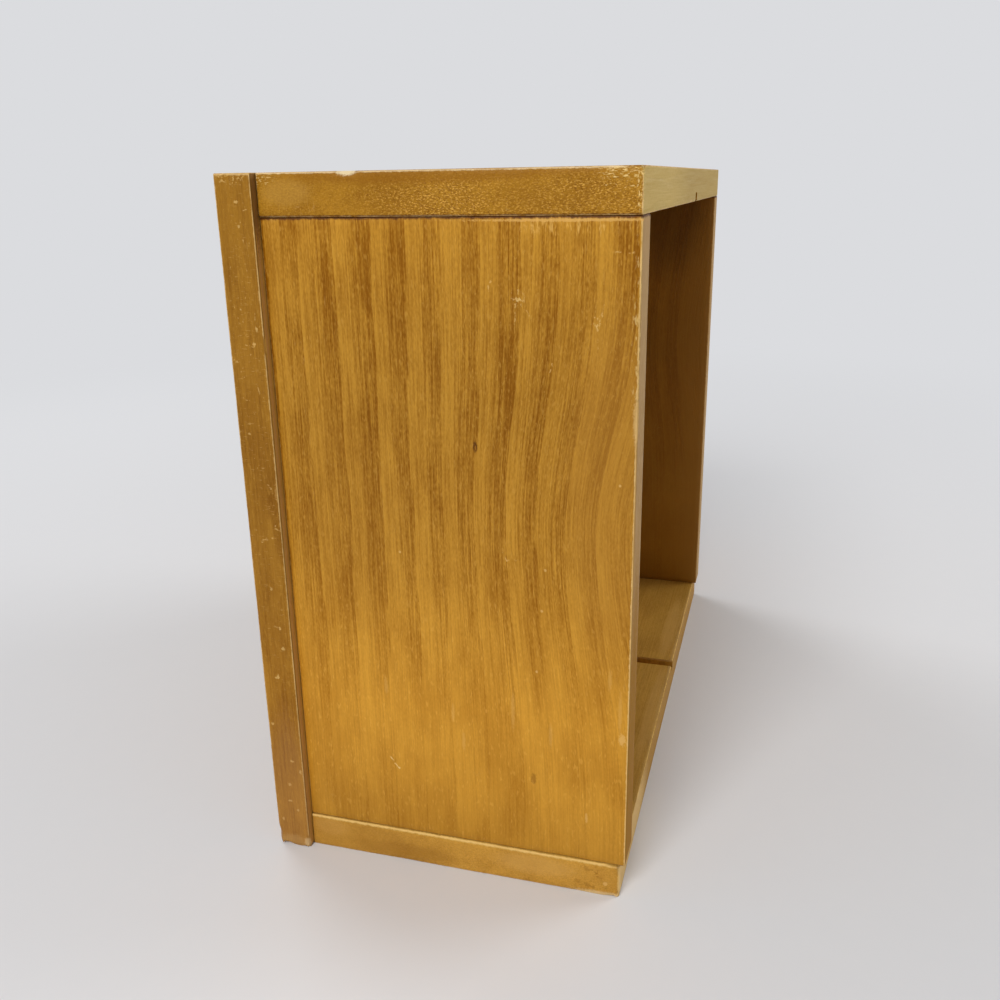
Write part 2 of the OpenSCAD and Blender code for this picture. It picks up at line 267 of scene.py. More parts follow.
def makeArrisWear():
    tree, given, result = newGroup("arrisWear", "Place Middle Half", "Width", "Line Chip")
    place = given["Place"]
    offset = vectorCalc(tree, "ABSOLUTE", vectorCalc(tree, "SUBTRACT", place, given["Middle"]))
    inward = vectorCalc(tree, "SUBTRACT", given["Half"], offset)
    gap = addNode(tree, "SeparateXYZ", {0: inward}).outputs
    least = calc(tree, "MINIMUM", gap[0], gap[1])
    most = calc(tree, "MAXIMUM", gap[0], gap[1])
    away = calc(tree, "MAXIMUM", least, calc(tree, "MINIMUM", most, gap[2]))
    fine = speckle(tree, place, 1300, 2.0, 0.7)
    broken = rise(tree, speckle(tree, place, 260, 3.0, 0.7), 0.34, 0.56)
    lineWidth = scaleAdd(tree, fine, rubbing["uneven"], rubbing["thin"])
    line = rise(tree, calc(tree, "DIVIDE", away, lineWidth), 0.5, 1.2, 1.0, 0.0)
    worst = rise(tree, speckle(tree, place, 75, 2.0), 0.56, 0.78)
    ragged = scaleAdd(tree, minus(tree, fine, 0.5), 2.6, worst)
    chipWidth = times(tree, times(tree, ragged, worst), given["Width"])
    chipWidth = calc(tree, "MAXIMUM", chipWidth, rubbing["leastChip"])
    chip = rise(tree, calc(tree, "DIVIDE", away, chipWidth), 0.7, 1.1, 1.0, 0.0)
    setInputs(tree, result, {"Line": times(tree, line, broken), "Chip": chip})
    return tree


# small pale dings, and hairline scratches
scuffing = {"perMetre": 230.0, "dingShare": 0.7, "stir": Vector((0.0016, 0.0016, 0.0016))}


def makeScuffMarks():
    tree, given, result = newGroup("scuffMarks", "Place", "PerMetre Share", "Ding Hairline")
    place = given["Place"]
    stir = addNode(tree, "TexNoise", {"Vector": place, "Scale": 900.0}).outputs[1]
    bent = vectorCalc(tree, "ADD", place, vectorCalc(tree, "MULTIPLY", stir, scuffing["stir"]))
    cell = addNode(tree, "TexVoronoi", {"Vector": bent, "Scale": given["PerMetre"]}).outputs
    lot = addNode(tree, "SeparateColor", {0: cell["Color"]}).outputs
    chosen = calc(tree, "LESS_THAN", lot[0], given["Share"])
    size = scaleAdd(tree, lot[1], 0.09, 0.03)
    dot = rise(tree, calc(tree, "DIVIDE", cell["Distance"], size), 0.6, 1.1, 1.0, 0.0)
    line = speckle(tree, place, (700, 700, 90), 0.0)
    thin = calc(tree, "ABSOLUTE", minus(tree, line, 0.5))
    patch = rise(tree, speckle(tree, place, 45, 1.0), 0.62, 0.72)
    setInputs(tree, result, {
        "Ding": times(tree, dot, chosen),
        "Hairline": times(tree, rise(tree, thin, 0.0, 0.012, 1.0, 0.0), patch),
    })
    return tree


# one ragged spot at a chosen place
def makeSpotMark():
    tree, given, result = newGroup("spotMark", "Place Middle Size PerMetre", "Ragged Specks Rare", "Spot")
    place = given["Place"]
    offset = vectorCalc(tree, "SUBTRACT", place, given["Middle"])
    offset = vectorCalc(tree, "DIVIDE", offset, given["Size"])
    length = vectorCalc(tree, "LENGTH", offset, out="Value")
    uneven = minus(tree, speckle(tree, place, 1700, 2.0, 0.6), 0.5)
    length = scaleAdd(tree, uneven, given["Ragged"], length)
    patch = rise(tree, length, 0.45, 1.0, 1.0, 0.0)
    fewer = minus(tree, speckle(tree, place, given["PerMetre"], 2.0, 0.6), given["Rare"])
    dots = rise(tree, fewer, 0.52, 0.66)
    solid = minus(tree, 1.0, given["Specks"])
    broken = scaleAdd(tree, dots, given["Specks"], solid)
    setInputs(tree, result, {"Spot": times(tree, patch, broken)})
    return tree


# one scratch from a start to an end
scratchSway = Vector((0.0018, 0.0018, 0.0018))  # metres off the straight line


def makeScratchMark():
    tree, given, result = newGroup("scratchMark", "Place Start End", "Width", "Scratch")
    run = vectorCalc(tree, "SUBTRACT", given["End"], given["Start"])
    place = given["Place"]
    stir = addNode(tree, "TexNoise", {"Vector": place, "Scale": 420.0}).outputs[1]
    stir = vectorCalc(tree, "SUBTRACT", stir, (0.5, 0.5, 0.5))
    sway = vectorCalc(tree, "MULTIPLY", stir, scratchSway)
    here = vectorCalc(tree, "ADD", vectorCalc(tree, "SUBTRACT", place, given["Start"]), sway)
    length = vectorCalc(tree, "DOT_PRODUCT", run, run, out="Value")
    share = calc(tree, "DIVIDE", vectorCalc(tree, "DOT_PRODUCT", here, run, out="Value"), length, clamp=True)
    foot = addNode(tree, "VectorMath", {0: run, "Scale": share}, operation="SCALE").outputs[0]
    away = vectorCalc(tree, "LENGTH", vectorCalc(tree, "SUBTRACT", here, foot), out="Value")
    uneven = speckle(tree, place, 1300, 2.0)
    width = times(tree, given["Width"], scaleAdd(tree, uneven, 2.4, -0.25))
    line = rise(tree, calc(tree, "DIVIDE", away, width), 0.3, 1.0, 1.0, 0.0)
    patchy = rise(tree, speckle(tree, place, 800, 1.0), 0.40, 0.58)
    setInputs(tree, result, {"Scratch": times(tree, line, patchy)})
    return tree


# the sideways bow of veneer grain round a height, wider below it than above
def makeVeneerBow():
    values = "Across Along Start End Middle Above Below Reach"
    tree, given, result = newGroup("veneerBow", "", values, "Shift")
    side = rise(tree, given["Across"], given["Start"], given["End"])
    height = minus(tree, given["Along"], given["Middle"])
    higher = calc(tree, "GREATER_THAN", height, 0.0)
    spread = addNode(tree, "Mix", {0: higher, 2: given["Below"], 3: given["Above"]}).outputs[0]
    up = calc(tree, "DIVIDE", height, spread)
    bell = calc(tree, "EXPONENT", times(tree, times(tree, up, up), -1.0))
    bent = times(tree, side, bell)
    setInputs(tree, result, {"Shift": times(tree, bent, given["Reach"])})
    return tree


woodFigure = makeWoodFigure()
arrisWear = makeArrisWear()
scuffMarks = makeScuffMarks()
spotMark = makeSpotMark()
scratchMark = makeScratchMark()
veneerBow = makeVeneerBow()
print("node groups made")


# one wood finish, with its grain, end grain, raw faces, worn arrises and marks
endGrain = {"cloud": (16, 50, 12), "pit": (1600, 3000, 60), "crumb": (1500, 2700, 80), "pitShare": 0.55}
varnish = {"specular": 0.13, "dulling": 0.26, "fibreDulling": 0.3}
relief = {"depth": 0.0002, "fibre": 0.7, "pore": -0.8, "pit": -0.6, "hairline": 0.5}


def faceMask(tree, normal, axis, side=0):
    # side 0 takes both faces square to the axis, 1 or -1 only one of them
    part = axisPart(tree, normal, axis)
    turned = calc(tree, "ABSOLUTE", part) if side == 0 else times(tree, part, side)
    return rise(tree, turned, 0.55, 0.9)


def addMark(tree, place, mark):
    # a spot has a size, a scratch a start and an end, and a seam runs square to its axis
    if "size" in mark:
        values = {"Place": place, "Middle": Vector(mark["place"]) * mm, "Size": Vector(mark["size"]) * mm,
                  "Ragged": mark.get("ragged", 0.8), "Specks": mark.get("specks", 0.0),
                  "PerMetre": mark.get("perMetre", (1500, 1500, 1500)), "Rare": mark.get("rare", 0.0)}
        return useGroup(tree, spotMark, values)["Spot"]
    width = mark["width"] * mm
    if "start" in mark:
        values = {"Place": place, "Start": Vector(mark["start"]) * mm, "End": Vector(mark["end"]) * mm,
                  "Width": width}
        return useGroup(tree, scratchMark, values)["Scratch"]
    away = minus(tree, axisPart(tree, place, mark["axis"]), mark["place"] * mm)
    away = calc(tree, "ABSOLUTE", away)
    uneven = minus(tree, speckle(tree, place, 700, 3.0, 0.65), 0.5)
    away = scaleAdd(tree, uneven, width * mark.get("ragged", 0.8), away)
    return rise(tree, away, 0.3 * width, width, 1.0, 0.0)


def readGrain(tree, place, look):
    # the wood figure, in the piece's own grain space
    through = ({"x", "y", "z"} - {look["along"], look["across"]}).pop()
    across = axisPart(tree, place, look["across"])
    along = axisPart(tree, place, look["along"])
    if "bow" in look:
        shift = useGroup(tree, veneerBow, {"Across": across, "Along": along, **look["bow"]})["Shift"]
        across = calc(tree, "ADD", across, shift)
    grainParts = {"X": across, "Y": axisPart(tree, place, through), "Z": along}
    straight = addNode(tree, "CombineXYZ", grainParts).outputs[0]
    grain = vectorCalc(tree, "ADD", straight, look["offset"])
    figure = useGroup(tree, woodFigure, {
        "Grain": grain,
        "Rings": look["rings"],
        "Wander": look["wander"],
        "Uneven": look["uneven"],
        "Pith": Vector(look["offset"]) + Vector(look["pith"]),
    })
    yearDepth = scaleAdd(tree, figure["Tone"], 0.5, 0.7)  # some years are deeper than others
    band = times(tree, figure["Band"], yearDepth, clamp=True)
    fibre = figure["Fibre"]
    if "fade" in look:
        fade = look["fade"]
        kept = rise(tree, along, fade["low"], fade["high"], fade["keep"], 1.0)
        band = times(tree, band, kept)
        fibre = times(tree, fibre, scaleAdd(tree, kept, 0.8, 0.2))
    return {"grain": grain, "along": along, "figure": figure, "band": band, "fibre": fibre}


def paintedHeightLight(tree, colour, along, tones):
    # painted light: the colour made lighter or darker at some heights, standing in for bounce light and
    # reflection
    first, last = tones[0][0], tones[-1][0]
    stops = [((height - first) / (last - first), level / 2) for height, level in tones]
    values = {"Value": along, "From Min": first, "From Max": last}
    share = addNode(tree, "MapRange", values).outputs[0]
    level = times(tree, ramp(tree, share, stops), 2.0)  # the ramp holds half, to stay below 1
    levels = addNode(tree, "CombineXYZ", {0: level, 1: level, 2: level}).outputs[0]
    return vectorCalc(tree, "MULTIPLY", colour, levels)


def stainedColour(tree, wood, look):
    # stain over the rings, with open pores and pale flecks
    figure, band = wood["figure"], wood["band"]
    depth = scaleAdd(tree, band, look["contrast"], look["stain"])
    depth = scaleAdd(tree, wood["fibre"], look["fibre"], depth)
    half = 0.5 * look["blotch"]
    depth = calc(tree, "ADD", depth, rise(tree, figure["Blotch"], 0.36, 0.68, -half, half), clamp=True)
    colour = blendColour(tree, depth, tint(*look["pale"]), tint(*look["deep"]))
    poreShare = scaleAdd(tree, band, 0.85, 0.15)
    pore = times(tree, times(tree, figure["Pore"], poreShare), look["pores"])
    colour = blendColour(tree, pore, colour, tint(*look["pore"]))
    fleck = times(tree, figure["Fleck"], look["flecks"])
    colour = blendColour(tree, fleck, colour, tint(*look["fleck"]))
    # painted light by height, where the look gives it
    if "tones" in look:
        colour = paintedHeightLight(tree, colour, wood["along"], look["tones"])
    return colour, pore


def endGrainColour(tree, place, wood, look):
    # end grain takes more stain, and shows open pits and pale crumbs
    grain = wood["grain"]
    cloud = rise(tree, speckle(tree, grain, endGrain["cloud"], 2.0), 0.36, 0.56, 0.3, 1.0)
    if "endPatch" in look:
        patch = scaleAdd(tree, addMark(tree, place, look["endPatch"]), 0.8, 0.2)
        cloud = times(tree, cloud, patch)
    pit = rise(tree, speckle(tree, grain, endGrain["pit"], 1.5, 0.6), 0.51, 0.63)
    pit = times(tree, pit, cloud)
    crumb = rise(tree, speckle(tree, grain, endGrain["crumb"], 1.5, 0.6), 0.52, 0.63)
    crumb = times(tree, crumb, cloud)
    depth = rise(tree, wood["figure"]["Blotch"], 0.35, 0.7, 0.2, 0.6)
    depth = scaleAdd(tree, wood["fibre"], look["endFibre"], depth, clamp=True)
    colour = blendColour(tree, depth, tint(*look["endPale"]), tint(*look["endDeep"]))
    crumbShare = times(tree, crumb, look["endDots"])
    colour = blendColour(tree, crumbShare, colour, tint(*look["fleck"]))
    pitShare = times(tree, pit, endGrain["pitShare"] * look["endDots"])
    return blendColour(tree, pitShare, colour, tint(*look["pore"])), pit


def bareColour(tree, wood, raw):
    depth = scaleAdd(tree, wood["band"], 0.2, 0.3)
    depth = scaleAdd(tree, wood["fibre"], 0.5, depth, clamp=True)
    return blendColour(tree, depth, tint(*raw["pale"]), tint(*raw["deep"]))


def wearMasks(tree, place, look, low, high):
    # rubbed and chipped arrises, dings, hairlines
    middle, half = (low + high) / 2, (high - low) / 2
    values = {"Place": place, "Middle": middle, "Half": half, "Width": look["chipWidth"]}
    rubbed = useGroup(tree, arrisWear, values)
    worn = calc(tree, "MAXIMUM", times(tree, rubbed["Line"], look["line"]),
                times(tree, rubbed["Chip"], look["chips"]))
    values = {"Place": place, "PerMetre": scuffing["perMetre"], "Share": look["dings"]}
    scuff = useGroup(tree, scuffMarks, values)
    ding = times(tree, scuff["Ding"], scuffing["dingShare"])
    return worn, ding, times(tree, scuff["Hairline"], look["hairlines"])


def woodMaterial(name, look, low, high):
    material, tree = blankMaterial(name)
    place, normal = objectPlace(tree)
    wood = readGrain(tree, place, look)
    colour, pore = stainedColour(tree, wood, look)
    end = faceMask(tree, normal, look["along"])
    endColour, pit = endGrainColour(tree, place, wood, look)
    colour = blendColour(tree, end, colour, endColour)
    if "inner" in look:
        # the face towards the drawers is painted darker: painted shade for the shaded inside of the case
        inner = look["inner"]
        share = times(tree, faceMask(tree, normal, "x", inner["side"]), inner["share"])
        colour = blendColour(tree, share, colour, tint(*inner["colour"]))
    bare = 0.0
    if "raw" in look:
        # the rear face was never stained
        bare = faceMask(tree, normal, "y", 1)
        colour = blendColour(tree, bare, colour, bareColour(tree, wood, look["raw"]))
    worn, ding, hairline = wearMasks(tree, place, look, low, high)
    for share in (worn, ding, hairline):
        colour = blendColour(tree, share, colour, tint(*look["worn"]))
    for mark in look.get("marks", []):
        share = times(tree, addMark(tree, place, mark), mark["share"])
        if "face" in mark:
            share = times(tree, share, faceMask(tree, normal, mark["face"]))
        colour = blendColour(tree, share, colour, tint(*mark["colour"]))

    # satin varnish, dull where it is worn off or was never put on
    dull = scaleAdd(tree, calc(tree, "MAXIMUM", worn, bare), varnish["dulling"], look["roughness"])
    roughness = scaleAdd(tree, wood["fibre"], varnish["fibreDulling"], dull, clamp=True)
    height = scaleAdd(tree, pore, relief["pore"], times(tree, wood["fibre"], relief["fibre"]))
    height = scaleAdd(tree, times(tree, end, pit), relief["pit"], height)
    height = minus(tree, height, scaleAdd(tree, hairline, relief["hairline"], ding))
    bump = addNode(tree, "Bump", {
        "Strength": look["bump"], "Distance": relief["depth"], "Height": height}).outputs[0]
    shader = addNode(tree, "BsdfPrincipled", {
        "Base Color": colour,
        "Roughness": roughness,
        "Normal": bump,
        "Specular IOR Level": varnish["specular"],
    })
    addNode(tree, "OutputMaterial", {"Surface": shader.outputs[0]})
    return material


# mesh helpers
weld = 1e-6  # metres
flatTurn = math.radians(0.5)
sharpTurn = math.radians(34)


def mergedCopy(nodeName):
    shape = bmesh.new()
    shape.from_mesh(frame["nodes"][nodeName].data)
    bmesh.ops.remove_doubles(shape, verts=shape.verts[:], dist=weld)
    bmesh.ops.dissolve_limit(shape, angle_limit=flatTurn, verts=shape.verts[:], edges=shape.edges[:])
    return shape


def boxSides(point, low, high, touch=2e-5):
    sides = set()
    for axis in range(3):
        if abs(point[axis] - low[axis]) < touch:
            sides.add((axis, 0))
        if abs(point[axis] - high[axis]) < touch:
            sides.add((axis, 1))
    return sides


def roundEdges(shape, edges, radius):
    bmesh.ops.bevel(shape, geom=edges, offset=radius, offset_type="OFFSET", segments=2, profile=0.5,
                    affect="EDGES", material=-1, clamp_overlap=True)


def easeArrises(shape, low, high, radius):
    arrises = []
    for edge in shape.edges:
        shared = boxSides(edge.verts[0].co, low, high) & boxSides(edge.verts[1].co, low, high)
        if len({axis for axis, side in shared}) >= 2:
            arrises.append(edge)
    roundEdges(shape, arrises, radius)


def gridCut(shape, low, high, step):
    for axis in range(3):
        count = int((high[axis] - low[axis]) / step)
        square = Vector((0, 0, 0))
        square[axis] = 1
        for k in range(1, count):
            cut = low + (high - low) * k / count
            bmesh.ops.bisect_plane(shape, geom=shape.verts[:] + shape.edges[:] + shape.faces[:],
                                   dist=1e-7, plane_co=cut, plane_no=square)


def rubDepth(point, wear):
    # how far an arris is worn back at this point
    broad = noise.noise(point * wear["broad"] + wear["seed"])
    fine = noise.noise(point * wear["fine"] + wear["seed"])
    depth = wear["rub"] * (max(0.0, broad + wear["always"]) + wear["fineShare"] * max(0.0, fine))
    for chip in wear.get("chips", []):
        offset = [(point[k] - chip["place"][k] * mm) / (chip["reach"][k] * mm) for k in range(3)]
        inside = 1 - sum(part * part for part in offset)
        if inside > 0:
            crumbled = 0.75 + 0.5 * noise.noise(point * wear["crumbs"])
            depth += chip["depth"] * mm * min(1.0, inside * wear["chipSlope"]) * crumbled
    return depth


def wearArrises(shape, low, high, wear):
    band = wear["band"]
    for vert in shape.verts:
        gaps = [min(vert.co[k] - low[k], high[k] - vert.co[k]) for k in range(3)]
        near = sorted(range(3), key=lambda k: gaps[k])[:2]
        if gaps[near[1]] > band:
            continue
        depth = min(rubDepth(vert.co, wear), band * wear["deepest"])
        if gaps[near[0]] > weld:
            depth *= wear["onRounding"]  # less here, so a chip stays flat
        for axis in near:
            if gaps[axis] < weld:
                continue
            shift = depth * (1 - gaps[axis] / band) ** 2
            vert.co[axis] += shift if vert.co[axis] - low[axis] < high[axis] - vert.co[axis] else -shift


def finishPiece(name, shape, material, body, nodeName):
    mesh = bpy.data.meshes.new(name)
    shape.to_mesh(mesh)
    shape.free()
    for polygon in mesh.polygons:
        polygon.use_smooth = True
    mesh.set_sharp_from_angle(angle=sharpTurn)
    mesh.materials.append(material)
    piece = addObject(name, mesh)
    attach(piece, body)
    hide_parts(nodeName)
    return piece


def boardPiece(nodeName, body, look, wear):
    low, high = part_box(nodeName)
    shape = mergedCopy(nodeName)
    easeArrises(shape, low, high, wear["ease"])
    if wear["step"]:
        gridCut(shape, low, high, wear["step"])
        wearArrises(shape, low, high, wear)
    material = woodMaterial("wood_" + nodeName, look, low, high)
    piece = finishPiece("worn_" + nodeName, shape, material, body, nodeName)
    print("made", piece.name, "with", len(piece.data.polygons), "faces")
    return piece


# honey stained hardwood, shared by the boards, the veneer and the frame
honeyStain = {
    "along": "x", "across": "y",
    "offset": (0.0, 0.0, 0.0),
    "pale": (198, 143, 47), "deep": (138, 84, 0),
    "pore": (118, 68, 0), "fleck": (210, 158, 66),
    "endPale": (183, 131, 35), "endDeep": (132, 83, 0),
    "endDots": 1.0, "endFibre": 0.6,
    "rings": 150.0, "wander": 0.010,
    "uneven": 1.6,
    "pith": (0.03, -0.16, 0.0),
    "stain": 0.30, "contrast": 0.42,
    "fibre": 0.95, "blotch": 0.3,
    "pores": 0.5, "flecks": 0.35,
    "worn": (208, 168, 98),
    "line": 0.7,
    "chips": 0.8, "chipWidth": 0.0012,
    "dings": 0.012, "hairlines": 0.15,
    "roughness": 0.42, "bump": 0.4,
}
easyWear = {
    "ease": 0.00035,
    "step": 0.0025,
    "band": 0.0025,
    "rub": 0.00022,
    "broad": 60,  # noise cycles per metre
    "fine": 420,
    "fineShare": 0.5,
    "always": 0.15,
    "crumbs": 1100,
    "chipSlope": 1.6,
    "deepest": 0.45,  # share of the band
    "onRounding": 0.6,
    "seed": Vector((0, 0, 0)),
}
rubbedWood = (216, 174, 100)
# dark brown painted shade for the crevices where boards meet
seamShade = (78, 37, 8)
splinter = (240, 206, 132)

# faces and seams that carry marks, in mm
boardEnd, boardBack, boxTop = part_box("top_board")[1] / mm
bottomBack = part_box("bottom_board")[1].y / mm
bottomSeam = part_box("right_side")[0].z / mm
sideFace, sideBack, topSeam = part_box("right_side")[1] / mm
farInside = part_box("left_side")[1].x / mm
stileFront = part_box("right_stile")[0].y / mm
stileFace, stileBack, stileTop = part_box("right_stile")[1] / mm


# marks in mm: a ragged spot, one broken into specks, scratches on an x face, a line along a seam or an arris
def spot(place, size, colour, share, **more):
    return {"place": place, "size": size, "colour": colour, "share": share, **more}


def specks(place, size, colour, share, perMetre, rare=0.0):
    return spot(place, size, colour, share, specks=1.0, perMetre=perMetre, rare=rare)


def scratches(face, width, colour, share, runs):
    # each run holds the depth and height of its start, then of its end
    same = {"width": width, "colour": colour, "share": share}
    return [{"start": (face, *run[:2]), "end": (face, *run[2:]), **same} for run in runs]


def seam(axis, place, width, colour, share, **more):
    return {"axis": axis, "place": place, "width": width, "colour": colour, "share": share, **more}


topBoard = {
    "look": {
        **honeyStain,
        "line": 1.0,
        "endDots": 1.3,
        "worn": (228, 192, 130),
        "endPatch": {"place": (0, 24, 195.5), "size": (600, 52, 9), "ragged": 0.3},
        "raw": {"pale": (207, 177, 103), "deep": (188, 156, 85)},
        "marks": [
            spot((-60, boardBack, 198), (130, 3, 30), (164, 136, 78), 0.5, face="y", ragged=0.2),
            spot((boardEnd, 0, 202), (3, 52, 3), (142, 88, 10), 0.5, ragged=0.4),
            spot((boardEnd, -36, 198), (2, 9, 4.5), (192, 146, 64), 0.4, ragged=0.5),
            specks((boardEnd, -43, 201.5), (2, 5, 2), splinter, 0.6, (900, 1100, 2600)),
            specks((boardEnd, 50, 201.6), (3, 7.5, 2.2), splinter, 0.9, (900, 800, 3200)),
            specks((boardEnd, 54.4, 198.5), (3, 1.3, 7), splinter, 0.95, (900, 2400, 1300)),
            *scratches(boardEnd, 0.22, splinter, 0.85, [
                (45.5, 198.8, 49.7, 198.95), (50.5, 198.4, 54.1, 198.55), (44.4, 201.7, 47.9, 201.85),
                (48, 202.3, 54, 202.45), (22, 193.4, 23.2, 193.55)]),
            spot((boardEnd, -19.2, 202.9), (3, 3.4, 1.3), (244, 222, 176), 0.95),
            seam("z", boxTop, 0.6, (240, 212, 160), 0.8, face="x", ragged=1.3),
            # painted shade in the crevices at the stile and along the joint above the side panel
            seam("y", stileBack, 0.5, seamShade, 0.85),
            seam("z", topSeam, 0.6, seamShade, 0.9, face="x", ragged=1.0),
        ],
    },
    "wear": {
        **easyWear,
        "step": 0.0016,
        "seed": Vector((3.1, 0.4, 7.7)),
        "chips": [
            {"place": (boardEnd - 0.05, -19, boxTop), "reach": (2.5, 3.2, 2.5), "depth": 1.0},
            {"place": (boardEnd - 0.05, 54, boxTop), "reach": (4, 4, 3), "depth": 0.8},
        ],
    },
}
bottomBoard = {
    "look": {
        **honeyStain,
        "offset": (0.7, 0.2, 0.4),
        "line": 1.0,
        "pale": (200, 156, 71), "deep": (144, 102, 34),
        "rings": 90.0,
        "contrast": 0.40,
        "fibre": 0.45,
        "pores": 0.15, "flecks": 0.1,
        "worn": (222, 180, 98),
        "endPale": (219, 164, 68), "endDeep": (172, 119, 34),
        "endDots": 0.2, "endFibre": 0.55,
        "raw": {"pale": (182, 138, 66), "deep": (158, 114, 48)},
        "marks": [
            spot((boardEnd, -46, 5), (3, 50, 14), (140, 92, 24), 0.3, ragged=0.3),
            spot((boardEnd, -12, 3), (3, 22, 4), (146, 96, 24), 0.35, ragged=0.6),
            spot((boardEnd, 28, 6.5), (3, 16, 4.5), (216, 166, 86), 0.45, ragged=0.6),
            spot((boardEnd, -38, 7.5), (3, 8, 4), (206, 154, 74), 0.45, ragged=0.6),
            *scratches(boardEnd, 1.1, (148, 92, 8), 0.4, [
                (42.8, 8.7, 47, 7.2), (47, 7.2, 48.8, 5.4), (41, 3.2, 46, 2.2)]),
            spot((boardEnd, 49.4, 4.2), (2, 0.9, 0.9), (224, 180, 104), 0.7),
            # rubbed pale wood and a painted highlight along the upper arris
            seam("z", bottomSeam, 1.1, (244, 202, 122), 0.9, face="x", ragged=1.1),
            spot((boardEnd, 50, 0), (3, 14, 1.7), (234, 200, 142), 0.85),
            # rubbed pale wood and a painted highlight down the rear arris
            spot((boardEnd, 53.7, 5), (3, 0.9, 11), (230, 188, 112), 0.8, ragged=0.9),
            # painted shade in the partition's housing
            seam("x", -15, 4.5, (92, 58, 14), 0.6, face="x"),  # the walls of the partition's housing
            # painted highlight on the rear face towards the near end
            spot((95, bottomBack, 6), (45, 3, 14), (224, 188, 124), 0.75, face="y", ragged=0.5),
            spot((-50, 49, bottomSeam), (38, 4, 2), (208, 166, 92), 0.5, ragged=0.5),
            spot((25, 50.5, bottomSeam), (45, 3, 2), (208, 166, 92), 0.5, ragged=0.5),
            # painted shade in the crevice at the stile
            seam("y", stileBack, 0.4, seamShade, 0.85),
        ],
    },
    "wear": {
        **easyWear,
        "step": 0.0016,
        "seed": Vector((1.3, 5.2, 2.9)),
        "chips": [
            {"place": (boardEnd - 0.05, bottomBack, bottomSeam), "reach": (4, 4, 4), "depth": 0.9},
            {"place": (boardEnd - 0.05, bottomBack, 0), "reach": (5, 4, 4), "depth": 0.7},
        ],
    },
}
boardPiece("top_board", "case", topBoard["look"], topBoard["wear"])
boardPiece("bottom_board", "case", bottomBoard["look"], bottomBoard["wear"])


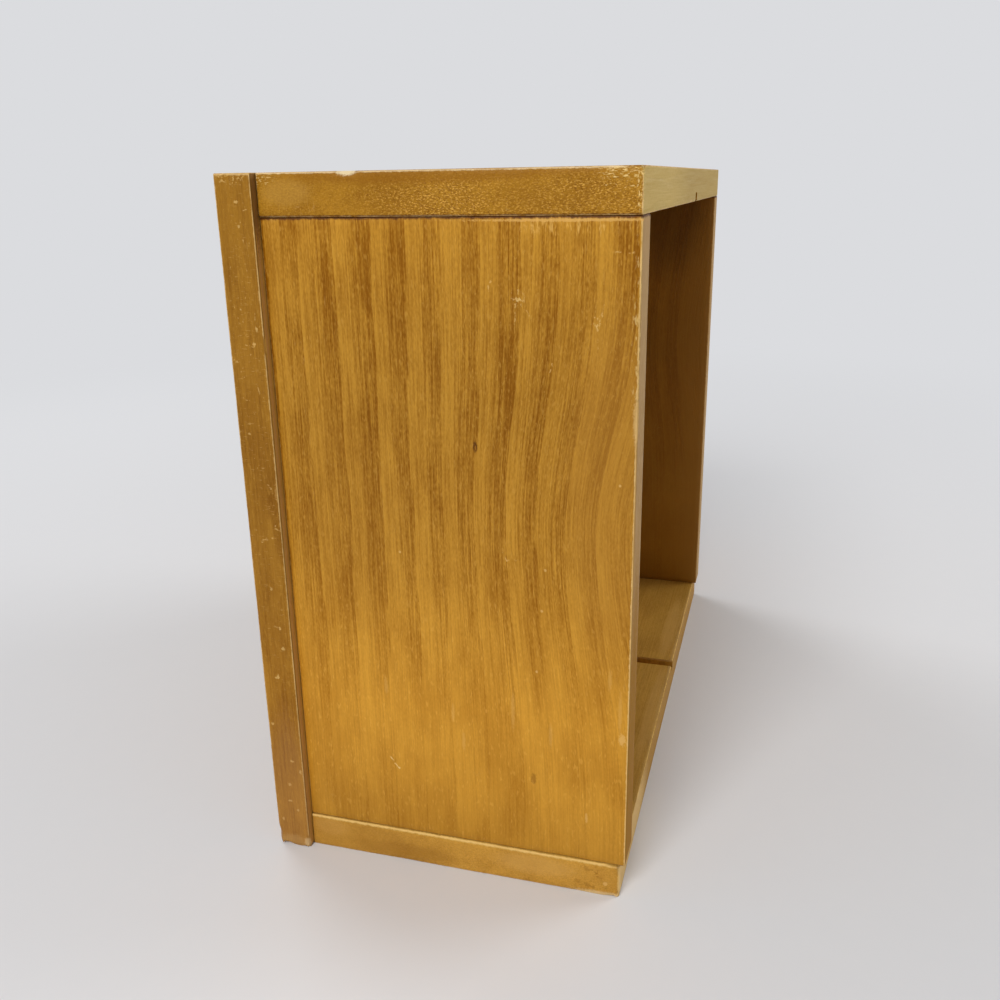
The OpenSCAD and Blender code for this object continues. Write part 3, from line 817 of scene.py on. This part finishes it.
# the veneered sides
# painted shade in the crevices along the joints with the top board, the bottom board and the stile
sideSeams = [
    seam("z", topSeam, 0.85, seamShade, 0.92, ragged=1.4),
    seam("z", bottomSeam, 0.5, (112, 66, 14), 0.5),
    seam("y", stileBack, 0.3, seamShade, 0.8),
]
rightSide = {
    "look": {
        **honeyStain,
        "along": "z", "across": "y",
        "offset": (0.3, 0.1, 0.9),
        "pith": (-0.5946, 0.114, 0.0),
        "rings": 101.5, "wander": 0.004,
        "uneven": 0.2,
        "stain": 0.28, "contrast": 0.50,
        "pores": 0.25,
        "line": 0.9,
        "bow": {"Start": -0.012, "End": 0.058, "Middle": 0.112, "Above": 0.036, "Below": 0.048,
                "Reach": 0.0102},
        "fade": {"low": 0.04, "high": 0.12, "keep": 0.2},
        # painted light by height: brighter low down for bounce light and reflection, darker in the middle
        "tones": [(0.011, 1.06), (0.03, 1.23), (0.055, 1.31), (0.08, 1.16), (0.105, 1.01), (0.14, 0.92),
                  (0.165, 0.95), (0.192, 1.06)],
        "raw": {"pale": (186, 150, 98), "deep": (160, 122, 72)},
        # painted shade: the inner face darker
        "inner": {"side": -1, "colour": (120, 76, 18), "share": 0.75},
        "marks": [
            # a knot, calmer stretches, a faint knot and a pale spot
            spot((sideFace, 12.7, 134), (2, 0.8, 1.9), (88, 46, 4), 0.95, ragged=0.5),
            spot((sideFace, 12.75, 133.7), (2, 0.3, 0.9), (166, 112, 34), 0.7, ragged=0.2),
            spot((sideFace, 50, 122), (2, 17, 62), (184, 130, 46), 0.4, ragged=0.3),
            spot((sideFace, -22, 108), (2, 24, 36), (168, 117, 36), 0.15, ragged=0.3),
            spot((sideFace, 28, 36), (2, 1.0, 2.4), (132, 80, 14), 0.5, ragged=1.2),
            spot((sideFace, 53.2, 52.5), (2, 1.2, 2.2), (236, 188, 108), 0.6, ragged=1.2),
            # pale wisps low down
            *scratches(sideFace, 0.4, splinter, 0.85, [(-16.5, 36, -13.5, 32.5)]),
            spot((sideFace, 43.5, 25.5), (2, 0.5, 2.4), (226, 180, 104), 0.5),
            *[spot((sideFace, y, z), (2, 0.7, half), (222, 172, 88), 0.35, ragged=0.9)
              for y, z, half in ((52.5, 61, 8), (49.5, 70.5, 4), (33, 51, 5), (7, 45, 4), (4, 54, 3.5),
                                 (-16.5, 60, 4), (22, 57, 8))],
            # scuffs and scratches higher up
            specks((sideFace, 30, 165), (2, 40, 50), (206, 158, 70), 0.35, (1800, 1800, 700), rare=0.06),
            specks((sideFace, 24.6, 172.5), (2, 2.4, 2.4), splinter, 0.6, (1500, 1500, 1200), rare=0.02),
            specks((sideFace, 44.3, 167.4), (2, 1.4, 3.0), splinter, 0.6, (1800, 1800, 900)),
            *scratches(sideFace, 0.3, rubbedWood, 0.75, [
                (22.5, 173, 26.5, 172), (24.5, 174.5, 25, 171.5), (23.5, 172, 26, 174),
                (24.5, 171.5, 23.5, 166), (25.5, 171, 27.5, 168.5), (18, 176.5, 17, 175.5),
                (17, 175.5, 17.5, 174), (46, 171.5, 45.5, 168.5), (46, 167.5, 44, 166),
                (44.5, 166, 45, 160.5), (33.5, 156.5, 32.5, 154.5), (46.5, 183.5, 53, 183.5),
                (20, 105, 21, 103), (21, 103, 24.5, 103)]),
            *[spot((sideFace, y, z), (2, 0.45, 0.5), rubbedWood, 0.8)
              for y, z in ((31.5, 101), (30.5, 89), (51, 126), (29, 70.5), (-10, 102.5))],
            # rubbed top and rear arrises, and the rear edge
            specks((sideFace, 40, 190.6), (2, 20, 4.5), (228, 178, 90), 0.7, (900, 1500, 260)),
            specks((sideFace, 54.6, 165), (2, 1.8, 30), splinter, 0.55, (1500, 1500, 450)),
            spot((sideFace, 54.9, 143), (2, 1.3, 8), (214, 172, 104), 0.85, ragged=1.0),
            seam("y", sideBack, 0.55, (244, 206, 136), 0.85, face="x", ragged=1.2),
            # painted light: warm bounce light on the lower part of the rear edge
            spot((107.5, sideBack, 30), (12, 3, 95), (154, 105, 0), 0.97, face="y", ragged=0.3),
            spot((sideFace, 38, 191), (2, 32, 0.5), (224, 174, 92), 0.7, ragged=1.4),
            *sideSeams,
        ],
    },
    "wear": {**easyWear, "seed": Vector((9.1, 3.2, 0.9))},
}
leftSide = {
    "look": {
        **rightSide["look"],
        "offset": (0.85, 0.6, 0.35),
        "inner": {**rightSide["look"]["inner"], "side": 1},
        "bow": {"Start": -0.02, "End": 0.05, "Middle": 0.13, "Above": 0.05, "Below": 0.04, "Reach": 0.008},
        "marks": [
            # painted light on the inner face, lighter near the open back
            spot((farInside, 60, 90), (3, 22, 220), (146, 100, 34), 0.65, ragged=0.2),
            # painted shadow under the top board, high on the inner face
            spot((farInside, 36, 196), (3, 22, 50), (58, 30, 6), 0.5, ragged=0.2),
            *sideSeams,
        ],
    },
    "wear": {**easyWear, "seed": Vector((2.2, 8.2, 4.9))},
}
boardPiece("right_side", "case", rightSide["look"], rightSide["wear"])
boardPiece("left_side", "case", leftSide["look"], leftSide["wear"])


# the face frame
stile = {
    "look": {
        **honeyStain,
        "along": "z", "across": "y",
        "pale": (172, 121, 36), "deep": (126, 78, 8),
        "rings": 220.0, "wander": 0.006,
        "stain": 0.40, "contrast": 0.16,
        "fibre": 0.5, "blotch": 0.45,
        # painted light by height: brighter at the bottom for bounce light from below
        "tones": [(0.0, 1.32), (0.04, 1.2), (0.10, 1.0), (0.15, 0.97), (0.203, 0.92)],
        "raw": {"pale": (200, 152, 70), "deep": (182, 134, 54)},
        "endDots": 0.5,
        "pores": 0.2, "flecks": 0.15,
        "line": 1.0,
        "chips": 0.3,
        "dings": 0.08,
    },
    "wear": {**easyWear, "step": 0.0014, "rub": 0.0002},
    "flecks": [
        (-46.5, 163.5), (-47.5, 159.5), (-49, 196), (-48, 76), (-47.5, 69.5), (-50.5, 59.5), (-50, 60),
        (-53.5, 43.5), (-48, 31), (-45.5, 27.5), (-49.5, 22.5), (-50, 16.5), (-53, 9.5), (-47.5, 13.5)],
    "scratches": [
        (-48, 186.5, -47.5, 184.5), (-48, 193.5, -46.5, 194), (-46.5, 167.5, -47.5, 163.5),
        (-54.5, 155, -53, 154.5), (-50, 159, -47, 158.5), (-48, 149, -47.5, 146),
        (-52.5, 144.5, -51, 144), (-49, 137, -46, 137), (-54, 135, -51.5, 134.5),
        (-51.5, 124, -49.5, 125), (-49, 125, -47, 125.5), (-47.5, 120, -46.5, 119),
        (-51.5, 103.5, -47.5, 104.5), (-46.5, 107.5, -45, 106.5), (-50, 76.5, -47.5, 75.5)],
    "chips": [
        {"place": (stileFace, stileBack, 159.4), "reach": (1.6, 1.6, 2.2), "depth": 0.6},
        {"place": (stileFace, stileFront, 0), "reach": (6, 5, 7), "depth": 1.2},
        {"place": (stileFace, stileBack, 0), "reach": (4, 3, 5), "depth": 0.6},
    ],
}


def stileMarks(hand):
    # hand is 1 for the right stile and -1 for the left one
    face = stileFace * hand
    ledge = (stileFace - 1.45) * hand  # middle of the strip that shows behind the stile
    return [
        *[spot((face, y, z), (2, 0.45 + 0.2 * (k % 3), 0.85 - 0.2 * (k % 3)), rubbedWood, 0.75, ragged=1.8)
          for k, (y, z) in enumerate(stile["flecks"])],
        *scratches(face, 0.3, rubbedWood, 0.6, stile["scratches"]),
        spot((face, -45.2, 1.5), (2, 1.3, 2.6), (236, 204, 148), 0.8),
        specks((face, -49.5, 125), (2, 8, 110), rubbedWood, 0.45, (500, 500, 3200), rare=0.10),
        specks((face, -49.5, 125), (2, 8, 110), (118, 72, 14), 0.4, (420, 420, 2600), rare=0.06),
        specks((face, -49, 165), (2, 8, 55), rubbedWood, 0.7, (1500, 1500, 1100), rare=0.13),
        seam("y", stileFront, 0.5, (228, 192, 132), 0.75, face="x", ragged=1.6),
        seam("y", stileBack, 0.45, (226, 188, 124), 0.7, face="x", ragged=1.3),
        # painted light on the strip behind the stile
        seam("x", ledge, 0.8, (196, 152, 104), 0.4, face="y", ragged=1.2),
        seam("x", (stileFace - 0.25) * hand, 0.45, (88, 50, 10), 0.6, face="y"),
        spot((ledge, stileBack, 200), (4, 2, 20), (92, 54, 12), 0.65, face="y", ragged=0.6),
        seam("z", stileTop, 0.8, (226, 188, 124), 0.8, face="x", ragged=1.6),
        specks((face, -50, 202), (2, 6, 2.4), rubbedWood, 0.7, (1500, 1500, 1500)),
        spot((face, -50, 1.5), (2, 7, 3.5), (204, 164, 98), 0.4),
        spot((face, -49, 15), (2, 9, 42), (170, 124, 78), 0.28, ragged=0.4),
    ]


for number, nodeName in enumerate(["right_stile", "left_stile"]):
    hand = 1 - 2 * number
    offset = (0.5 + 0.31 * number, 0.9, 0.2 + 0.17 * number)
    look = {**stile["look"], "offset": offset, "marks": stileMarks(hand)}
    chips = [{**chip, "place": (chip["place"][0] * hand, *chip["place"][1:])} for chip in stile["chips"]]
    wear = {**stile["wear"], "seed": Vector((4.4, 1.7 + number, 6.1)), "chips": chips}
    boardPiece(nodeName, "case", look, wear)

frameRails = {
    "look": {**stile["look"], "tones": [(-0.12, 1.0), (0.12, 1.0)]},  # an even tone along the rails
    "wear": {**easyWear, "ease": 0.0004},
    "lying": ["top_rail", "bottom_rail", "lower_left_rail", "lower_right_rail", "upper_left_rail",
              "upper_right_rail"],
    "standing": ["mullion"],
}
for number, nodeName in enumerate(frameRails["lying"] + frameRails["standing"]):
    standing = nodeName in frameRails["standing"]
    look = {
        **frameRails["look"],
        "along": "z" if standing else "x",
        "across": "x" if standing else "z",
        "offset": (0.21 * number, 0.13 * number, 0.37 * number),
    }
    wear = {**frameRails["wear"], "seed": Vector((number, 2.5, 0.7 * number))}
    boardPiece(nodeName, "case", look, wear)


# wood inside: thin sealed boards in the case and under the drawers, and raw softwood boxes
plainWood = {**honeyStain, "endDots": 0.35, "dings": 0.0, "hairlines": 0.2, "line": 0.3, "chips": 0.0}
thinBoard = {
    "look": {
        **plainWood,
        "along": "y", "across": "x",
        "pale": (204, 160, 90), "deep": (152, 106, 46),
        "pore": (136, 92, 36), "fleck": (206, 166, 98),
        "endPale": (188, 142, 74), "endDeep": (150, 106, 48),
        "roughness": 0.55,
    },
    "wear": {**easyWear, "ease": 0.0002, "step": 0},
}
for number, nodeName in enumerate(["partition", "lower_shelf", "upper_shelf"]):
    look = {**thinBoard["look"], "offset": (0.4 * number, 0.3, 0.2), "across": "z" if number == 0 else "x"}
    boardPiece(nodeName, "case", look, thinBoard["wear"])


# drawers: stained fronts, raw boxes, turned knobs
drawerFront = {
    "look": {
        **honeyStain,
        "along": "x", "across": "z",
        "pale": (188, 136, 38), "deep": (132, 82, 6),
    },
    "wear": {**easyWear, "ease": 0.0004},
}
rawBox = {
    "look": {
        **plainWood,
        "along": "y", "across": "z",
        "pale": (222, 190, 132), "deep": (176, 132, 76),
        "pore": (168, 124, 70), "fleck": (222, 192, 138),
        "endPale": (206, 170, 112), "endDeep": (172, 130, 76),
        "worn": (222, 194, 142),
        "rings": 260.0,
        "roughness": 0.62,
    },
    "wear": {**easyWear, "ease": 0.0003, "step": 0},
}
knobTurning = {  # radii and heights in mm
    "foot": 5.25,
    "footHeight": 1.6,
    "footEase": 0.25,
    "lipDrop": 0.35,
    "lipEase": 0.4,
    "neck": 3.75,
    "rim": 8.0,
    "rimHeight": 10.5,
    "cup": 4.0,
    "crown": 4.5,
    "tenon": 3.0,
    "arcPoints": 10,
    "steps": 64,
}
knobLook = {
    **honeyStain,
    "along": "y", "across": "x",
    "pale": (170, 122, 40), "deep": (118, 74, 12),
    "endPale": (154, 106, 34), "endDeep": (124, 80, 18),
    "endDots": 0.25, "endFibre": 0.4,
    "pith": (0.02, 0.01, 0.0),
    "rings": 300.0,
    "line": 0.0,
    "chips": 0.0,
    "roughness": 0.36,
}


def knobShape(low, high, turning):
    middle = (low + high) / 2
    front = low.y + (turning["rimHeight"] + turning["crown"]) * mm
    tenonEnd = (front - high.y) / mm
    foot, neck, rim = turning["foot"], turning["neck"], turning["rim"]
    footHeight, rimHeight = turning["footHeight"], turning["rimHeight"]
    outline = [(0.0, tenonEnd), (turning["tenon"], tenonEnd), (turning["tenon"], 0.0)]
    ease, lip = turning["footEase"], turning["lipEase"]
    outline += [(foot - ease, 0.0), (foot, ease), (foot, footHeight - turning["lipDrop"])]
    outline += [(foot - lip, footHeight), (neck + lip, footHeight), (neck, footHeight + lip)]
    count = turning["arcPoints"]
    for k in range(count):
        turn = math.pi / 2 * (k / count - 1)
        outline.append((neck + (rim - neck) * math.cos(turn), rimHeight + turning["cup"] * math.sin(turn)))
    for k in range(count + 1):
        turn = math.pi / 2 * k / count
        outline.append((rim * math.cos(turn), rimHeight + turning["crown"] * math.sin(turn)))
    shape = bmesh.new()
    points = [shape.verts.new((middle.x + r * mm, front - d * mm, middle.z)) for r, d in outline]
    for first, second in zip(points, points[1:]):
        shape.edges.new((first, second))
    bmesh.ops.spin(shape, geom=shape.verts[:] + shape.edges[:], cent=middle, axis=(0, 1, 0),
                   angle=2 * math.pi, steps=turning["steps"], use_merge=True)
    bmesh.ops.remove_doubles(shape, verts=shape.verts[:], dist=weld)
    bmesh.ops.recalc_face_normals(shape, faces=shape.faces[:])
    return shape


drawerNames = [name for name in frame["bodies"] if name.startswith("drawer_")]
for number, name in enumerate(drawerNames):
    shift = (0.19 * number, 0.41 * number, 0.23 * number)
    look = {**drawerFront["look"], "offset": shift}
    wear = {**drawerFront["wear"], "seed": Vector((number, 3.5 * number, 1.2))}
    boardPiece(name + "_front", name, look, wear)
    for wall, along in [("_left_wall", "y"), ("_right_wall", "y"), ("_back", "x")]:
        look = {**rawBox["look"], "along": along, "offset": shift}
        boardPiece(name + wall, name, look, rawBox["wear"])
    look = {**thinBoard["look"], "along": "x", "across": "y", "offset": shift}
    boardPiece(name + "_bottom", name, look, thinBoard["wear"])
    knob = name + "_knob"
    low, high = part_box(knob)
    knobMaterial = woodMaterial("wood_" + knob, {**knobLook, "offset": shift}, low, high)
    shape = knobShape(low, high, knobTurning)
    finishPiece("turned_" + knob, shape, knobMaterial, name, knob)
print("drawers made:", len(drawerNames))


# guides and stops: sets of raw softwood strips with eased edges
strips = {"names": ["drawer_guides", "drawer_stops"], "ease": 0.0004, "square": 1.0}
for nodeName in strips["names"]:
    low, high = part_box(nodeName)
    shape = mergedCopy(nodeName)
    edges = [edge for edge in shape.edges if edge.calc_face_angle(0.0) > strips["square"]]
    roundEdges(shape, edges, strips["ease"])
    stripMaterial = woodMaterial("wood_" + nodeName, rawBox["look"], low, high)
    finishPiece("eased_" + nodeName, shape, stripMaterial, "case", nodeName)
print("guides and stops made")


# nails and pins: dull steel with a little rust
nailLook = {
    "bright": (122, 118, 112),
    "dark": (74, 68, 62),
    "rust": (104, 66, 36),
    "cloud": 900,  # noise cycles per metre
    "patches": 350,
    "relief": 0.0001,
}


def nailMaterial(look):
    material, tree = blankMaterial("nail_steel")
    place = objectPlace(tree)[0]
    cloud = speckle(tree, place, look["cloud"], 3.0)
    colour = blendColour(tree, cloud, tint(*look["bright"]), tint(*look["dark"]))
    rust = rise(tree, speckle(tree, place, look["patches"], 4.0, 0.6), 0.5, 0.7)
    colour = blendColour(tree, rust, colour, tint(*look["rust"]))
    values = {"Strength": 0.3, "Distance": look["relief"], "Height": cloud}
    bump = addNode(tree, "Bump", values).outputs[0]
    shader = addNode(tree, "BsdfPrincipled", {
        "Base Color": colour,
        "Metallic": minus(tree, 1.0, rust),
        "Roughness": scaleAdd(tree, rust, 0.3, 0.45),
        "Normal": bump,
    })
    addNode(tree, "OutputMaterial", {"Surface": shader.outputs[0]})
    return material


steel = nailMaterial(nailLook)
for nodeName in ["case_nails", "frame_pins"]:
    node = frame["nodes"][nodeName]
    node.data.materials.clear()
    node.data.materials.append(steel)
print("fasteners finished")


# pale floor that fades into the background, soft lamps and an even sky
studio = {
    "floorColour": (226, 226, 228),
    "backColour": (219, 220, 223),
    "floorRadius": 6.0,
    "floorSides": 96,
    "paperGrain": 120,
    "paperShare": 0.04,
    "fadeStart": 0.12,
    "fadeEnd": 0.9,
    "sky": 0.3,
    "lamps": [
        {"name": "keyLamp", "place": (0.95, -0.1, 0.9), "size": 0.5, "watts": 8.0},
        {"name": "fillLamp", "place": (-0.6, 1.05, 0.7), "size": 0.8, "watts": 6.5},
        {"name": "frontLamp", "place": (-0.7, -1.0, 0.75), "size": 0.9, "watts": 7.0},
    ],
    "target": (0.05, 0.0, 0.1),
}


def seenShare(tree):
    # rays that show the background: straight from the camera, or by way of gloss or glass
    ray = addNode(tree, "LightPath").outputs
    seen = calc(tree, "MAXIMUM", ray["Is Camera Ray"], ray["Is Glossy Ray"])
    return calc(tree, "MAXIMUM", seen, ray["Is Transmission Ray"])


def makeFloor(setup):
    shape = bmesh.new()
    bmesh.ops.create_circle(shape, cap_ends=True, segments=setup["floorSides"], radius=setup["floorRadius"])
    mesh = bpy.data.meshes.new("paleFloor")
    shape.to_mesh(mesh)
    shape.free()
    floor = addObject("paleFloor", mesh)
    material, tree = blankMaterial("paleFloor")
    place = objectPlace(tree)[0]
    away = vectorCalc(tree, "LENGTH", place, out="Value")
    grainy = times(tree, speckle(tree, place, setup["paperGrain"]), setup["paperShare"])
    paper = blendColour(tree, grainy, tint(*setup["floorColour"]), (1, 1, 1, 1))
    matte = addNode(tree, "BsdfPrincipled", {
        "Base Color": paper, "Roughness": 0.9, "Specular IOR Level": 0.2})
    glow = addNode(tree, "Emission", {"Color": tint(*setup["backColour"]), "Strength": 1.0})
    far = rise(tree, away, setup["fadeStart"], setup["fadeEnd"])
    share = times(tree, far, seenShare(tree))
    mixed = addNode(tree, "MixShader", {0: share, 1: matte.outputs[0], 2: glow.outputs[0]})
    addNode(tree, "OutputMaterial", {"Surface": mixed.outputs[0]})
    mesh.materials.append(material)


def makeSky(setup):
    world = bpy.data.worlds.new("softSky")
    scene.world = world
    world.use_nodes = True
    tree = world.node_tree
    tree.nodes.clear()
    even = addNode(tree, "Background", {"Color": (1, 1, 1, 1), "Strength": setup["sky"]})
    shown = addNode(tree, "Background", {"Color": tint(*setup["backColour"]), "Strength": 1.0})
    share = seenShare(tree)
    mixed = addNode(tree, "MixShader", {0: share, 1: even.outputs[0], 2: shown.outputs[0]})
    addNode(tree, "OutputWorld", {"Surface": mixed.outputs[0]})


def makeLamps(setup):
    for lamp in setup["lamps"]:
        data = bpy.data.lights.new(lamp["name"], "AREA")
        data.shape = "DISK"
        data.size = lamp["size"]
        data.energy = lamp["watts"]
        holder = addObject(lamp["name"], data)
        holder.location = lamp["place"]
        aim = Vector(setup["target"]) - Vector(lamp["place"])
        holder.rotation_euler = aim.to_track_quat("-Z", "Y").to_euler()


makeFloor(studio)
makeSky(studio)
makeLamps(studio)
print("studio lit")
